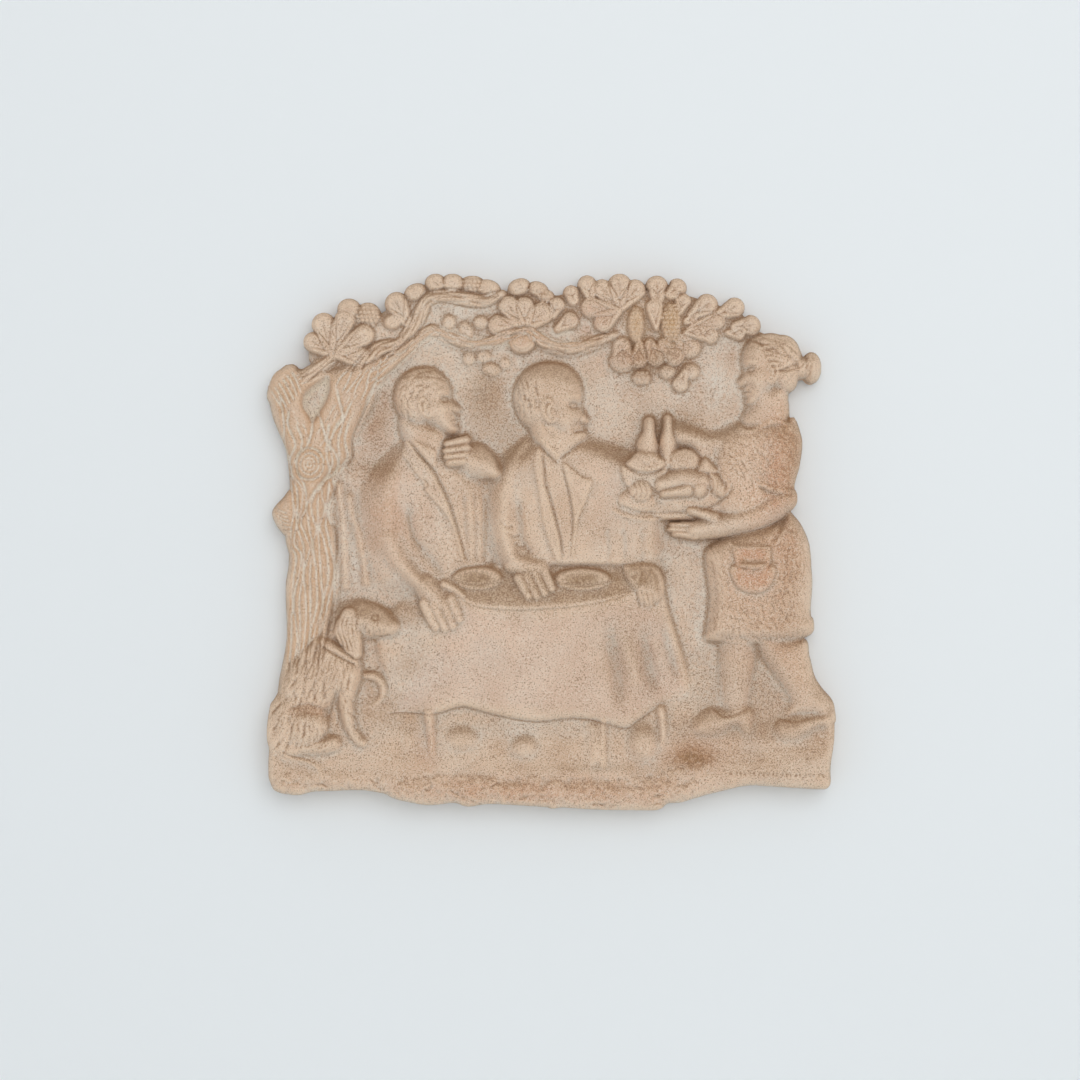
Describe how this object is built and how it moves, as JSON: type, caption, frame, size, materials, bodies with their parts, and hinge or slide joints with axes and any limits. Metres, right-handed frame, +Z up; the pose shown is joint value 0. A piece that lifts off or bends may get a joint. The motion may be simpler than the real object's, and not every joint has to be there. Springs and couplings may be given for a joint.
{
  "type": "plaster wall relief",
  "caption": "Cast plaster wall relief: diners at a table under a tree, a waitress with a tray and a sitting dog, with a flat back.",
  "frame": {"origin": "centre of the flat back that lies against the wall", "axes": "+Z up as hung, the modelled face looks along -Y, +Y into the wall"},
  "size_m": [0.4006, 0.0377, 0.377],
  "materials": {
    "plaster": "matte cast plaster, terracotta tint with brown and white patina"
  },
  "bodies": {
    "root": {"relief": "plaster"}
  },
  "joints": []
}
